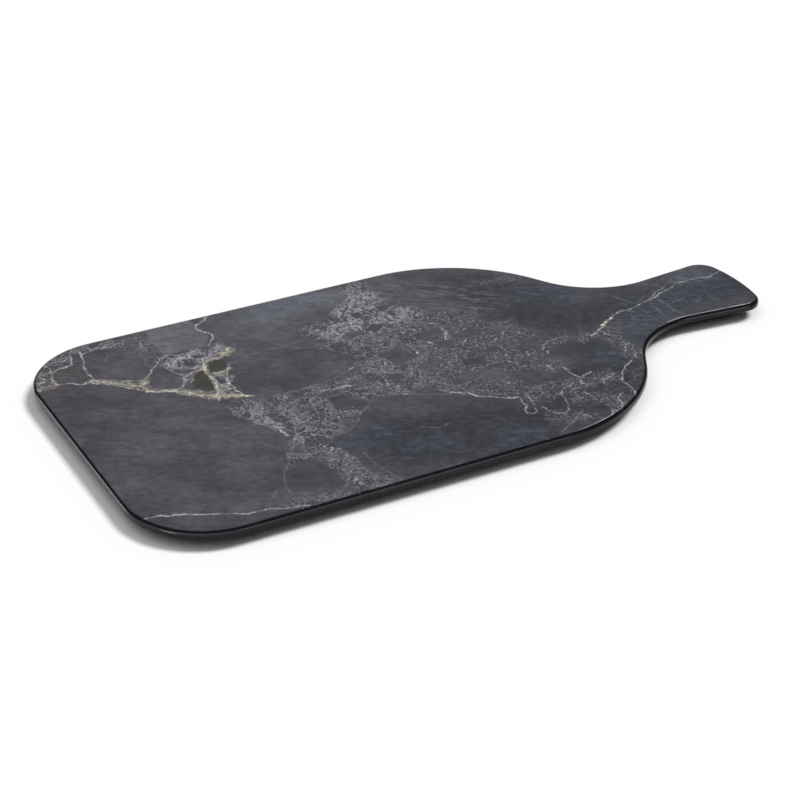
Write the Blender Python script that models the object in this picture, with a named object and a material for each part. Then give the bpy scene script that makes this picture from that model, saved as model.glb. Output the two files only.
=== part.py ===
"""Serving paddle: a moulded melamine board with a marble-print overlay over its top and its lip."""

import math

import bmesh
import bpy
from mathutils import Vector

# Sizes are in metres. The board end lies at -X, the handle at +X, and the foot stands on z = 0.

# Plan of the lip. The shoulder, neck and grip points are where its straight sides would meet, before rounding.
BOARD_WIDTH = 0.2065
BOARD_CORNER_RADIUS = 0.044
# Board end to shoulder point, shoulder point to neck point, neck point to the crown of the grip's end
BOARD_LENGTH = 0.2717
SHOULDER_LENGTH = 0.0463
HANDLE_LENGTH = 0.082
SHOULDER_RADIUS = 0.090
NECK_WIDTH = 0.0457
NECK_RADIUS = 0.050
GRIP_WIDTH = 0.0606
GRIP_CORNER_RADIUS = 0.012
# The grip's end is crowned: its sides lean back by this much from the middle to the corners
GRIP_END_LEAN = 0.0057
GRIP_END_RADIUS = 0.100

# Section of the lip
SERVING_HEIGHT = 0.0116
LIP_THICKNESS = 0.004
LIP_TOP_RADIUS = 0.0022
LIP_UNDER_RADIUS = 0.0008

# Overlay: it wraps the lip down to the parting line and lies in a rebate of the body
OVERLAY_THICKNESS = 0.0006
OVERLAY_CLEARANCE = 0.0003
OVERLAY_WRAP = 0.0028

# Foot rim under the lip, and the recess inside it
FOOT_INSET = 0.0115
FOOT_WIDTH = 0.004
FOOT_DRAFT = math.radians(2.0)
FOOT_EDGE_RADIUS = 0.0008
FOOT_ROOT_RADIUS = 0.0015
FOOT_CORNER_RADIUS = 0.003
PLATE_THICKNESS = 0.0046
RECESS_ROOT_RADIUS = 0.002

# Facets along each rounding
CORNER_STEPS = 12
SHOULDER_STEPS = 11
NECK_STEPS = 10
GRIP_CORNER_STEPS = 6
GRIP_END_STEPS = 8
EDGE_STEPS = 4

BODY_COLOUR = (0.018, 0.018, 0.021, 1.0)
OVERLAY_COLOUR = (0.078, 0.078, 0.092, 1.0)


def clear_scene():
    for obj in list(bpy.data.objects):
        bpy.data.objects.remove(obj, do_unlink=True)


def plan_corners():
    """The lip's corner points with the radius and facets of each, anticlockwise from the front of the board end."""
    overall = BOARD_LENGTH + SHOULDER_LENGTH + HANDLE_LENGTH
    board_end = -overall / 2
    grip_end = overall / 2
    shoulder = board_end + BOARD_LENGTH
    neck = shoulder + SHOULDER_LENGTH
    lean = math.atan2(GRIP_END_LEAN, GRIP_WIDTH / 2)
    # The crown is rounded off, so its point lies a little beyond the end
    crown = grip_end + GRIP_END_RADIUS * (1 / math.cos(lean) - 1)
    front = [
        ((board_end, -BOARD_WIDTH / 2), BOARD_CORNER_RADIUS, CORNER_STEPS),
        ((shoulder, -BOARD_WIDTH / 2), SHOULDER_RADIUS, SHOULDER_STEPS),
        ((neck, -NECK_WIDTH / 2), NECK_RADIUS, NECK_STEPS),
        ((crown - GRIP_END_LEAN, -GRIP_WIDTH / 2), GRIP_CORNER_RADIUS, GRIP_CORNER_STEPS),
    ]
    back = [((x, -y), radius, steps) for (x, y), radius, steps in reversed(front)]
    return front + [((crown, 0.0), GRIP_END_RADIUS, GRIP_END_STEPS)] + back


def outline(inset):
    """Points round the paddle at this distance inside the lip's edge: sides moved in, then corners rounded."""
    corners = plan_corners()
    count = len(corners)
    plan = [Vector(point) for point, radius, steps in corners]
    sides = [(plan[(i + 1) % count] - plan[i]).normalized() for i in range(count)]
    inward = [Vector((-side.y, side.x)) for side in sides]
    moved = []
    tangents = []
    for i in range(count):
        before, after = inward[i - 1], inward[i]
        moved.append(plan[i] + (before + after) * (inset / (1 + before.dot(after))))
        convex = sides[i - 1].dot(after) < 0
        radius = corners[i][1] - inset if convex else corners[i][1] + inset
        radius = max(radius, min(corners[i][1], FOOT_CORNER_RADIUS))
        turn = sides[i - 1].angle(sides[i])
        tangents.append(radius * math.tan(turn / 2))
    # Two roundings that share a side take no more than its length
    lengths = [(moved[(i + 1) % count] - moved[i]).length for i in range(count)]
    shares = [min(1.0, lengths[i] / (tangents[i] + tangents[(i + 1) % count])) for i in range(count)]
    points = []
    for i in range(count):
        tangent = tangents[i] * min(shares[i - 1], shares[i])
        turn = sides[i - 1].angle(sides[i])
        radius = tangent / math.tan(turn / 2)
        start = moved[i] - sides[i - 1] * tangent
        to_centre = inward[i - 1] if sides[i - 1].dot(inward[i]) < 0 else -inward[i - 1]
        centre = start + to_centre * radius
        for step in range(corners[i][2] + 1):
            swing = turn * step / corners[i][2]
            points.append(centre - to_centre * radius * math.cos(swing) + sides[i - 1] * radius * math.sin(swing))
    return points


def rounding(inset, height, radius, start, end):
    """Points of a rounded edge in the section. Angles are in degrees: 0 faces out, 90 faces up."""
    points = []
    for step in range(EDGE_STEPS + 1):
        angle = math.radians(start + (end - start) * step / EDGE_STEPS)
        points.append((inset - radius * math.cos(angle), height + radius * math.sin(angle)))
    return points


def overlay_section():
    """The overlay's edge from the serving face, round the lip to the parting line and back inside, measured from
    the serving face."""
    inner_radius = LIP_TOP_RADIUS - OVERLAY_THICKNESS
    outside = rounding(LIP_TOP_RADIUS, -LIP_TOP_RADIUS, LIP_TOP_RADIUS, 90, 0)
    inside = rounding(LIP_TOP_RADIUS, -LIP_TOP_RADIUS, inner_radius, 0, 90)
    hem = [(0.0, -OVERLAY_WRAP), (OVERLAY_THICKNESS, -OVERLAY_WRAP)]
    return outside + hem + inside


def body_section():
    """The body's edge from its top, over the rebate and the lip, round the foot and up into the recess."""
    rebate = OVERLAY_THICKNESS + OVERLAY_CLEARANCE
    top_centre = SERVING_HEIGHT - LIP_TOP_RADIUS
    ledge = SERVING_HEIGHT - OVERLAY_WRAP - OVERLAY_CLEARANCE
    lip_under = SERVING_HEIGHT - LIP_THICKNESS
    ceiling = SERVING_HEIGHT - PLATE_THICKNESS
    # The foot leans in on both faces, so it leaves the mould
    outer_lean = (lip_under - FOOT_ROOT_RADIUS) * math.tan(FOOT_DRAFT)
    inner_lean = (ceiling - RECESS_ROOT_RADIUS) * math.tan(FOOT_DRAFT)
    foot_outer = FOOT_INSET + outer_lean
    foot_inner = FOOT_INSET + FOOT_WIDTH - inner_lean
    section = rounding(LIP_TOP_RADIUS, top_centre, LIP_TOP_RADIUS - rebate, 90, 0)
    section += [(rebate, ledge), (0.0, ledge)]
    section += rounding(LIP_UNDER_RADIUS, lip_under + LIP_UNDER_RADIUS, LIP_UNDER_RADIUS, 0, -90)
    section += rounding(FOOT_INSET - FOOT_ROOT_RADIUS, lip_under - FOOT_ROOT_RADIUS, FOOT_ROOT_RADIUS, 90, 180)
    section += rounding(foot_outer + FOOT_EDGE_RADIUS, FOOT_EDGE_RADIUS, FOOT_EDGE_RADIUS, 0, -90)
    section += rounding(foot_inner - FOOT_EDGE_RADIUS, FOOT_EDGE_RADIUS, FOOT_EDGE_RADIUS, -90, -180)
    recess = FOOT_INSET + FOOT_WIDTH + RECESS_ROOT_RADIUS
    section += rounding(recess, ceiling - RECESS_ROOT_RADIUS, RECESS_ROOT_RADIUS, 0, 90)
    return section


def sweep_edge(name, section):
    """A closed solid: the edge section carried round the outline, with flat faces across its first and last loop."""
    bm = bmesh.new()
    loops = []
    for inset, height in section:
        loops.append([bm.verts.new((point.x, point.y, height)) for point in outline(inset)])
    for upper, lower in zip(loops, loops[1:]):
        for i in range(len(upper)):
            bm.faces.new((upper[i - 1], upper[i], lower[i], lower[i - 1]))
    bm.faces.new(loops[0])
    bm.faces.new(loops[-1])
    bmesh.ops.recalc_face_normals(bm, faces=bm.faces)
    mesh = bpy.data.meshes.new(name)
    bm.to_mesh(mesh)
    bm.free()
    mesh.shade_smooth()
    mesh.set_sharp_from_angle(angle=math.radians(40))
    return bpy.data.objects.new(name, mesh)


def plain_material(name, colour, roughness):
    material = bpy.data.materials.new(name)
    material.use_nodes = True
    shader = material.node_tree.nodes["Principled BSDF"]
    shader.inputs["Base Color"].default_value = colour
    shader.inputs["Roughness"].default_value = roughness
    shader.inputs["Metallic"].default_value = 0.0
    return material


def main():
    clear_scene()
    collection = bpy.data.collections.new("serving_paddle")
    bpy.context.scene.collection.children.link(collection)
    paddle = bpy.data.objects.new("paddle", None)
    collection.objects.link(paddle)

    body = sweep_edge("moulded_body", body_section())
    body.data.materials.append(plain_material("black_melamine", BODY_COLOUR, 0.45))

    # The overlay's origin is the middle of the serving face
    overlay = sweep_edge("marble_overlay", overlay_section())
    overlay.location = (0.0, 0.0, SERVING_HEIGHT)
    overlay.data.materials.append(plain_material("marble_print", OVERLAY_COLOUR, 0.4))

    for obj in (body, overlay):
        collection.objects.link(obj)
        obj.parent = paddle
        print(obj.name, len(obj.data.polygons), "faces")


main()
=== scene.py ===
# %% [markdown]
# # A serving paddle with a marble print
# The paddle is a black melamine moulding with a printed sheet pressed over its top. This lesson builds both
# pieces with Blender's own modelling operators, draws the stone pattern with nodes, and lights the set like
# a product photo. The imported model comes first, and its two solids are hidden once the new pieces stand
# in their place.

# %% Load the imported model
import math

import bmesh
import bpy
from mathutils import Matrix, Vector


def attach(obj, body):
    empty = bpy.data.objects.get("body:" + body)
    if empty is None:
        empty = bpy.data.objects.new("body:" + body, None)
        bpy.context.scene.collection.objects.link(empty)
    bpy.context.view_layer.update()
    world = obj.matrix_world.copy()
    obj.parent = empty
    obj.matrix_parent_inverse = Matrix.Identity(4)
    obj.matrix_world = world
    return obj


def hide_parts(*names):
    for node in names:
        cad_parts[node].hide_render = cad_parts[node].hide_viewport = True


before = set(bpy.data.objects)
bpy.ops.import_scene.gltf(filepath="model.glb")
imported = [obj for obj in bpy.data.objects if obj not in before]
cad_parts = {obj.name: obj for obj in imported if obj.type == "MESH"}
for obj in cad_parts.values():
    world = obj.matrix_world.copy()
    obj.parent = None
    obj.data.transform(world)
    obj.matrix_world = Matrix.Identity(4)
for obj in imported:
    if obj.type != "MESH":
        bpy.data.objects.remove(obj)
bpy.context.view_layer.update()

# %% [markdown]
# ## Sizes
# These are the sizes of the solids, in metres. The plan is given by the points where its straight sides
# would meet; each point is rounded afterwards. The board end lies at -X, the handle at +X, and the foot
# stands on z = 0.

# %% Sizes of the plan
BOARD_WIDTH = 0.2065
BOARD_LENGTH = 0.2717
SHOULDER_LENGTH = 0.0463
HANDLE_LENGTH = 0.082
NECK_WIDTH = 0.0457
GRIP_WIDTH = 0.0606
GRIP_END_LEAN = 0.0057
BOARD_CORNER_RADIUS = 0.044
SHOULDER_RADIUS = 0.090
NECK_RADIUS = 0.050
GRIP_CORNER_RADIUS = 0.012
GRIP_END_RADIUS = 0.100

overall = BOARD_LENGTH + SHOULDER_LENGTH + HANDLE_LENGTH
BOARD_END = -overall / 2
print("overall length", round(overall, 4))

# %% Sizes of the section
SERVING_HEIGHT = 0.0116
LIP_THICKNESS = 0.004
LIP_TOP_RADIUS = 0.0022
LIP_UNDER_RADIUS = 0.0008
OVERLAY_THICKNESS = 0.0006
OVERLAY_WRAP = 0.0028
FOOT_INSET = 0.0115
FOOT_WIDTH = 0.004
FOOT_LEAN = 0.0002
FOOT_EDGE_RADIUS = 0.0008
FOOT_ROOT_RADIUS = 0.0015
FOOT_CORNER_RADIUS = 0.003
PLATE_THICKNESS = 0.0046
RECESS_ROOT_RADIUS = 0.002
# The visible pieces lie this close, so the parting line shows only as a hairline
PARTING_GAP = 0.00008
print("lip from", round(SERVING_HEIGHT - LIP_THICKNESS, 4), "to", SERVING_HEIGHT)

# %% [markdown]
# ## Helpers for modelling by hand
# An operator acts on what is selected, so each step first clears the selection and then picks vertices,
# edges or faces by where they are. In edit mode the mesh is reached through a BMesh, which lets a rule
# choose what to select.


# %% Selecting in edit mode
def deselect_all():
    for obj in bpy.context.selected_objects:
        obj.select_set(False)


def make_active(obj):
    deselect_all()
    obj.select_set(True)
    bpy.context.view_layer.objects.active = obj


def edited_mesh():
    return bmesh.from_edit_mesh(bpy.context.object.data)


def pick(kind, rule):
    """Selects the vertices, edges or faces of the edited mesh that the rule accepts."""
    bpy.ops.mesh.select_mode(type=kind)
    bpy.ops.mesh.select_all(action="DESELECT")
    bm = edited_mesh()
    for item in {"VERT": bm.verts, "EDGE": bm.edges, "FACE": bm.faces}[kind]:
        if rule(item):
            item.select_set(True)
    bm.select_flush_mode()
    bmesh.update_edit_mesh(bpy.context.object.data)


# %% [markdown]
# ## The plan
# A designer would draw this outline with straight lines and round the corners. The same is done here: a
# plane becomes the board, its right edge is extruded and narrowed to the neck, extruded and widened to the
# grip, and the end is crowned. Inset moves the sides in evenly for the foot.


# %% Draw the plan with sharp corners
def sharp_plan(inset):
    shoulder = BOARD_END + BOARD_LENGTH
    deselect_all()
    bpy.ops.mesh.primitive_plane_add(size=1.0, location=(BOARD_END + BOARD_LENGTH / 2, 0.0, 0.0))
    plan = bpy.context.object
    plan.scale = (BOARD_LENGTH, BOARD_WIDTH, 1.0)
    bpy.ops.object.transform_apply(location=True, rotation=True, scale=True)
    bpy.ops.object.mode_set(mode="EDIT")
    pick("EDGE", lambda edge: all(abs(vert.co.x - shoulder) < 1e-5 for vert in edge.verts))
    bpy.ops.mesh.extrude_edges_move(TRANSFORM_OT_translate={"value": (SHOULDER_LENGTH, 0.0, 0.0)})
    bpy.ops.transform.resize(value=(1.0, NECK_WIDTH / BOARD_WIDTH, 1.0), center_override=(0.0, 0.0, 0.0))
    # The crown is rounded off later, so its point lies a little beyond the end
    lean = math.atan2(GRIP_END_LEAN, GRIP_WIDTH / 2)
    crown = BOARD_END + overall + GRIP_END_RADIUS * (1 / math.cos(lean) - 1)
    grip = crown - GRIP_END_LEAN - (shoulder + SHOULDER_LENGTH)
    bpy.ops.mesh.extrude_edges_move(TRANSFORM_OT_translate={"value": (grip, 0.0, 0.0)})
    bpy.ops.transform.resize(value=(1.0, GRIP_WIDTH / NECK_WIDTH, 1.0), center_override=(0.0, 0.0, 0.0))
    bpy.ops.mesh.subdivide(number_cuts=1)
    pick("VERT", lambda vert: abs(vert.co.y) < 1e-5)
    bpy.ops.transform.translate(value=(GRIP_END_LEAN, 0.0, 0.0))
    bpy.ops.mesh.select_mode(type="FACE")
    bpy.ops.mesh.select_all(action="SELECT")
    bpy.ops.mesh.dissolve_faces()
    if inset > 0.0:
        bpy.ops.mesh.inset(thickness=inset, use_boundary=True, use_even_offset=True)
        bpy.ops.mesh.select_all(action="INVERT")
        bpy.ops.mesh.delete(type="FACE")
    return plan


# %% [markdown]
# ## Rounding the plan
# Each corner point gets a vertex bevel. A rounding of radius r leaves the sides r x tan(half the turn)
# before the corner, and the bevel's profile is set so that the curve passes through the middle of a true
# arc. The station is kept on the points as an attribute, so that the plans can still be told apart once
# they are joined.


# %% Round the corners of a plan
def corner_turn(vert):
    first, second = [edge.other_vert(vert).co - vert.co for edge in vert.link_edges]
    return math.pi - first.angle(second)


def rounded_plan(inset, height, station):
    """The paddle's plan at this distance inside the lip, as one face at this height."""
    plan = sharp_plan(inset)
    along = sorted(edited_mesh().verts, key=lambda vert: vert.co.x)
    corners = [
        (along[0:2], BOARD_CORNER_RADIUS - inset, 24),
        (along[2:4], SHOULDER_RADIUS - inset, 24),
        (along[4:6], NECK_RADIUS + inset, 20),
        (along[6:8], GRIP_CORNER_RADIUS - inset, 12),
        (along[8:9], GRIP_END_RADIUS - inset, 12),
    ]
    roundings = []
    for verts, radius, segments in corners:
        half_turn = corner_turn(verts[0]) / 2
        places = [vert.co.copy() for vert in verts]
        tangent = max(radius, FOOT_CORNER_RADIUS) * math.tan(half_turn)
        middle = (1 + 2 * math.cos(half_turn)) / (2 + 2 * math.cos(half_turn))
        roundings.append((places, tangent, segments, middle * middle))
    for places, tangent, segments, profile in roundings:
        pick("VERT", lambda vert: any((vert.co - place).length < 1e-6 for place in places))
        bpy.ops.mesh.bevel(
            affect="VERTICES", offset_type="OFFSET", offset=tangent, segments=segments, profile=profile
        )
    bpy.ops.mesh.select_all(action="SELECT")
    bpy.ops.transform.translate(value=(0.0, 0.0, height))
    bpy.ops.object.mode_set(mode="OBJECT")
    mark = plan.data.attributes.new("station", "INT", "POINT")
    for item in mark.data:
        item.value = station
    return plan


# %% [markdown]
# ## From plans to a solid
# A moulded edge is a section carried round the outline. Each bend of the section is one rounded plan, and
# neighbouring plans are bridged. All plans have the same number of points, so the bridges are clean strips
# of quads. Two bends can have the same height, and a bridge between plans in one plane may run straight
# across, so the plans are bridged as a tall stack and each loop is then set flat at its own height. The
# bends are still sharp then: each loop gets a bevel weight, and one Bevel modifier rounds them all, each by
# its own radius.

# %% Bridge the plans and round the bends
STACK_STEP = 0.02
WIDEST_BEVEL = LIP_TOP_RADIUS
BEVEL_SEGMENTS = 6


def stations(item):
    """The stations that an edge or a face of the edited mesh touches."""
    layer = edited_mesh().verts.layers.int["station"]
    return {vert[layer] for vert in item.verts}


def set_heights(section):
    """Flattens each loop of the stack at the height of its bend."""
    for station, (inset, height, rounding) in enumerate(section):
        layer = edited_mesh().verts.layers.int["station"]
        pick("VERT", lambda vert: vert[layer] == station)
        bpy.ops.transform.resize(value=(1.0, 1.0, 0.0), center_override=(0.0, 0.0, height))


def weigh_bends(section):
    """Gives each loop the share of the widest bevel that its own rounding needs."""
    bm = edited_mesh()
    weight = bm.edges.layers.float.new("bevel_weight_edge")
    for edge in bm.edges:
        touched = stations(edge)
        if len(touched) == 1:
            edge[weight] = section[touched.pop()][2] / WIDEST_BEVEL
    bmesh.update_edit_mesh(bpy.context.object.data)


def swept_piece(name, section, closed_ends):
    """Bridges plans at (inset, height, rounding) into one piece. Closed ends stay as faces."""
    plans = [rounded_plan(bend[0], -STACK_STEP * station, station) for station, bend in enumerate(section)]
    make_active(plans[0])
    for plan in plans[1:]:
        plan.select_set(True)
    bpy.ops.object.join()
    piece = bpy.context.object
    piece.name = name
    piece.data.name = name
    bpy.ops.object.mode_set(mode="EDIT")
    pick("FACE", lambda face: not stations(face) <= closed_ends)
    bpy.ops.mesh.delete(type="ONLY_FACE")
    for station in range(len(section) - 1):
        pick("EDGE", lambda edge: len(stations(edge)) == 1 and stations(edge) <= {station, station + 1})
        bpy.ops.mesh.bridge_edge_loops()
    set_heights(section)
    weigh_bends(section)
    bpy.ops.mesh.select_all(action="SELECT")
    bpy.ops.mesh.normals_make_consistent(inside=False)
    bpy.ops.object.mode_set(mode="OBJECT")
    bevel = piece.modifiers.new("round the bends", "BEVEL")
    bevel.limit_method = "WEIGHT"
    bevel.width = WIDEST_BEVEL
    bevel.segments = BEVEL_SEGMENTS
    bpy.ops.object.modifier_apply(modifier=bevel.name)
    piece.data.attributes.remove(piece.data.attributes["station"])
    print(name, len(piece.data.vertices), "vertices")
    return piece


# %% [markdown]
# ## The printed overlay
# The decor sheet covers the top and the rounded lip and ends at the parting line. Only its outside is
# drawn: the side is bridged between two plans and the top stays as a face. A narrow inset keeps the flat
# top's normals upright next to the rounding, and Solidify gives the sheet its thickness inwards.

# %% Model the overlay
FLAT_BORDER = 0.0004
SMOOTH_ANGLE = math.radians(50)

overlay = swept_piece(
    "overlay_sheet",
    [(0.0, SERVING_HEIGHT - OVERLAY_WRAP, 0.0), (0.0, SERVING_HEIGHT, LIP_TOP_RADIUS)],
    closed_ends={1},
)
bpy.ops.object.mode_set(mode="EDIT")
largest = max(face.calc_area() for face in edited_mesh().faces)
pick("FACE", lambda face: face.calc_area() == largest)
bpy.ops.mesh.inset(thickness=FLAT_BORDER, use_even_offset=True)
bpy.ops.object.mode_set(mode="OBJECT")
sheet = overlay.modifiers.new("sheet thickness", "SOLIDIFY")
sheet.thickness = OVERLAY_THICKNESS
sheet.offset = -1.0
sheet.use_even_offset = True
bpy.ops.object.modifier_apply(modifier=sheet.name)
bpy.ops.object.shade_smooth_by_angle(angle=SMOOTH_ANGLE)
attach(overlay, "root")
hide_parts("marble_overlay")
print("overlay box in mm", [round(size * 1000, 2) for size in overlay.dimensions])

# %% [markdown]
# ## The black moulding
# The body has a rebate for the overlay, the lower edge of the lip, the foot rim set back under it, and the
# recess inside the rim. The section below runs from the hidden top, down the lip, round the foot and up
# into the recess.

# %% Model the body
lip_under = SERVING_HEIGHT - LIP_THICKNESS
ceiling = SERVING_HEIGHT - PLATE_THICKNESS
ledge = SERVING_HEIGHT - OVERLAY_WRAP - PARTING_GAP
rebate = OVERLAY_THICKNESS + PARTING_GAP
foot_inner = FOOT_INSET + FOOT_WIDTH
LEDGE_EASE = 0.0001
# The body's lip stands back by a hair, so the sheet's hem is the widest line of the paddle
LIP_TUCK = 0.00005
body = swept_piece(
    "body_moulding",
    [
        (rebate, SERVING_HEIGHT - rebate, LIP_TOP_RADIUS - rebate),
        (rebate, ledge, 0.0),
        (LIP_TUCK, ledge, LEDGE_EASE),
        (LIP_TUCK, lip_under, LIP_UNDER_RADIUS),
        (FOOT_INSET, lip_under, FOOT_ROOT_RADIUS),
        (FOOT_INSET + FOOT_LEAN, 0.0, FOOT_EDGE_RADIUS),
        (foot_inner - FOOT_LEAN, 0.0, FOOT_EDGE_RADIUS),
        (foot_inner, ceiling, RECESS_ROOT_RADIUS),
    ],
    closed_ends={0, 7},
)
bpy.ops.object.shade_smooth_by_angle(angle=SMOOTH_ANGLE)
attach(body, "root")
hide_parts("moulded_body")
print("body box in mm", [round(size * 1000, 2) for size in body.dimensions])

# %% [markdown]
# ## Helpers for drawing with nodes
# A material is a tree of nodes. These helpers place a node, feed its inputs with a value or with another
# node's output, and give back the output, so that a pattern reads like a calculation.


# %% Placing and feeding nodes
def feed(tree, socket, source):
    if isinstance(source, bpy.types.NodeSocket):
        tree.links.new(source, socket)
    else:
        socket.default_value = source


def maths(tree, operation, *sources):
    node = tree.nodes.new("ShaderNodeMath")
    node.operation = operation
    for socket, source in zip(node.inputs, sources):
        feed(tree, socket, source)
    return node.outputs["Value"]


def vectors(tree, operation, first, second=(0.0, 0.0, 0.0)):
    node = tree.nodes.new("ShaderNodeVectorMath")
    node.operation = operation
    feed(tree, node.inputs[0], first)
    feed(tree, node.inputs["Scale" if operation == "SCALE" else 1], second)
    return node.outputs["Value" if operation in ("DOT_PRODUCT", "DISTANCE") else "Vector"]


def ease(tree, value, start, end, low=0.0, high=1.0):
    """Goes smoothly from low at the start to high at the end."""
    node = tree.nodes.new("ShaderNodeMapRange")
    node.interpolation_type = "SMOOTHSTEP"
    for socket, source in zip(node.inputs, (value, start, end, low, high)):
        feed(tree, socket, source)
    return node.outputs["Result"]


def blend(tree, share, first, second, method="MIX"):
    """Goes from the first colour to the second by this share."""
    node = tree.nodes.new("ShaderNodeMix")
    node.data_type = "RGBA"
    node.blend_type = method
    for index, source in ((0, share), (6, first), (7, second)):
        feed(tree, node.inputs[index], source)
    return node.outputs[2]


def noise(tree, place, scale, detail=2.0, roughness=0.5, output="Fac", dimensions="3D"):
    node = tree.nodes.new("ShaderNodeTexNoise")
    node.noise_dimensions = dimensions
    feed(tree, node.inputs["Vector"], place)
    node.inputs["Scale"].default_value = scale
    node.inputs["Detail"].default_value = detail
    node.inputs["Roughness"].default_value = roughness
    return node.outputs[output]


def cells(tree, place, scale, feature):
    node = tree.nodes.new("ShaderNodeTexVoronoi")
    node.voronoi_dimensions = "2D"
    node.feature = feature
    feed(tree, node.inputs["Vector"], place)
    node.inputs["Scale"].default_value = scale
    return node.outputs


def new_group(name, inputs, outputs):
    """An empty node group with these sockets, and the node inside that hands out its inputs."""
    tree = bpy.data.node_groups.new(name, "ShaderNodeTree")
    for label, kind in inputs:
        tree.interface.new_socket(label, in_out="INPUT", socket_type=kind)
    for label, kind in outputs:
        tree.interface.new_socket(label, in_out="OUTPUT", socket_type=kind)
    return tree, tree.nodes.new("NodeGroupInput").outputs


def use_group(tree, group, output, **sources):
    node = tree.nodes.new("ShaderNodeGroup")
    node.node_tree = group
    for label, source in sources.items():
        feed(tree, node.inputs[label.replace("_", " ")], source)
    return node.outputs[output] if isinstance(output, str) else [node.outputs[name] for name in output]


def new_material(piece, name):
    material = bpy.data.materials.new(name)
    material.use_nodes = True
    piece.data.materials.clear()
    piece.data.materials.append(material)
    return material.node_tree, material.node_tree.nodes["Principled BSDF"]


VALUE = "NodeSocketFloat"
VECTOR = "NodeSocketVector"
print("node helpers ready")

# %% [markdown]
# ## The moulded skin
# Melamine comes out of a steel mould that is lapped to a satin finish. Both pieces share that skin: a very
# fine grain, a slight waviness, and gloss that drifts from place to place. It is one node group with its
# own values in each material. It puts out the roughness and the height for a Bump node.

# %% Shared node group for the satin skin
satin, given = new_group(
    "satin_skin",
    [("Place", VECTOR), ("Middle Roughness", VALUE), ("Roughness Spread", VALUE), ("Grain", VALUE)],
    [("Roughness", VALUE), ("Height", VALUE)],
)
drift = noise(satin, given["Place"], 0.035, detail=3.0)
handled = noise(satin, given["Place"], 0.5, detail=2.0)
gloss = maths(satin, "MULTIPLY_ADD", drift, 1.4, maths(satin, "MULTIPLY", handled, 0.6))
off_middle = maths(satin, "SUBTRACT", gloss, 1.0)
roughness = maths(satin, "MULTIPLY_ADD", off_middle, given["Roughness Spread"], given["Middle Roughness"])
fine_grain = noise(satin, given["Place"], 3.2, detail=2.0, roughness=0.6)
waviness = noise(satin, given["Place"], 0.22, detail=1.0)
height = maths(satin, "MULTIPLY_ADD", fine_grain, given["Grain"], waviness)
skin_out = satin.nodes.new("NodeGroupOutput")
feed(satin, skin_out.inputs["Roughness"], roughness)
feed(satin, skin_out.inputs["Height"], height)
print("satin skin:", len(satin.nodes), "nodes")

# %% [markdown]
# ## The stone's drawing board
# The print shows a dark breccia: old stone broken into pieces and healed with pale mineral. Its veins and
# broken pieces are drawn on a board in millimetres, with the first number along the paddle from the board
# end and the second across it. Object coordinates are turned into that board by a Mapping node. Noise then
# makes every drawn line wander, because a crack in stone is never straight.

# %% A board in millimetres, and its wander
BOARD_SCALE = (1004.4, 1010.8, 0.0)
BOARD_ORIGIN = (199.4, 0.2, 0.0)

stone, marble_shader = new_material(overlay, "marble_decor")
coordinates = stone.nodes.new("ShaderNodeTexCoord").outputs["Object"]
mapping = stone.nodes.new("ShaderNodeMapping")
feed(stone, mapping.inputs["Vector"], coordinates)
mapping.inputs["Location"].default_value = BOARD_ORIGIN
mapping.inputs["Scale"].default_value = BOARD_SCALE
board = mapping.outputs["Vector"]


def stone_noise(place, scale, detail=2.0, roughness=0.5, output="Fac"):
    return noise(stone, place, scale, detail, roughness, output, "2D")


def wander(place, scale, amount, detail):
    """Moves a place to and fro by about this many millimetres."""
    swing = vectors(stone, "SUBTRACT", stone_noise(place, scale, detail, 0.5, "Color"), (0.5, 0.5, 0.5))
    return vectors(stone, "ADD", place, vectors(stone, "MULTIPLY", swing, (amount, amount, 0.0)))


crack_place = wander(wander(wander(board, 0.11, 1.4, 0.0), 0.42, 2.2, 2.0), 1.3, 0.9, 1.0)
flake_place = wander(board, 0.30, 1.6, 2.0)
print("stone so far:", len(stone.nodes), "nodes")

# %% [markdown]
# ## One run of a vein
# A vein is a chain of short straight runs. The group below measures how far a place is from one run, less
# the vein's half width, and keeps the smaller of that and the distance so far. Chained along a route it
# gives the distance to the whole vein, from which any width, softness or halo can be taken. Nodes are
# placed in the order in which they are worked out, because the renderer keeps few results at a time.

# %% Node group for one run, and chains of runs
vein_run, given = new_group(
    "vein_run",
    [("Place", VECTOR), ("Start", VECTOR), ("Step", VECTOR), ("Reach", VECTOR), ("Half Width", VALUE),
     ("So Far", VALUE)],
    [("Distance", VALUE)],
)
away = vectors(vein_run, "SUBTRACT", given["Place"], given["Start"])
reached = vectors(vein_run, "DOT_PRODUCT", away, given["Reach"])
along = vein_run.nodes.new("ShaderNodeClamp")
feed(vein_run, along.inputs["Value"], reached)
nearest = vectors(vein_run, "SCALE", given["Step"], along.outputs["Result"])
gap = maths(vein_run, "SUBTRACT", vectors(vein_run, "DISTANCE", away, nearest), given["Half Width"])
closest = maths(vein_run, "MINIMUM", gap, given["So Far"])
run_out = vein_run.nodes.new("NodeGroupOutput")
feed(vein_run, run_out.inputs["Distance"], closest)
FAR_AWAY = 1000.0


def routes_distance(place, routes):
    """How far a place is outside the nearest of these routes, each a half width and a list of points."""
    so_far = FAR_AWAY
    for half_width, points in routes:
        for start, end in zip(points, points[1:]):
            step = Vector((end[0] - start[0], end[1] - start[1], 0.0))
            so_far = use_group(
                stone, vein_run, "Distance", Place=place, Start=(start[0], start[1], 0.0), Step=step,
                Reach=step / step.length_squared, Half_Width=half_width, So_Far=so_far,
            )
    return so_far
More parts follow.
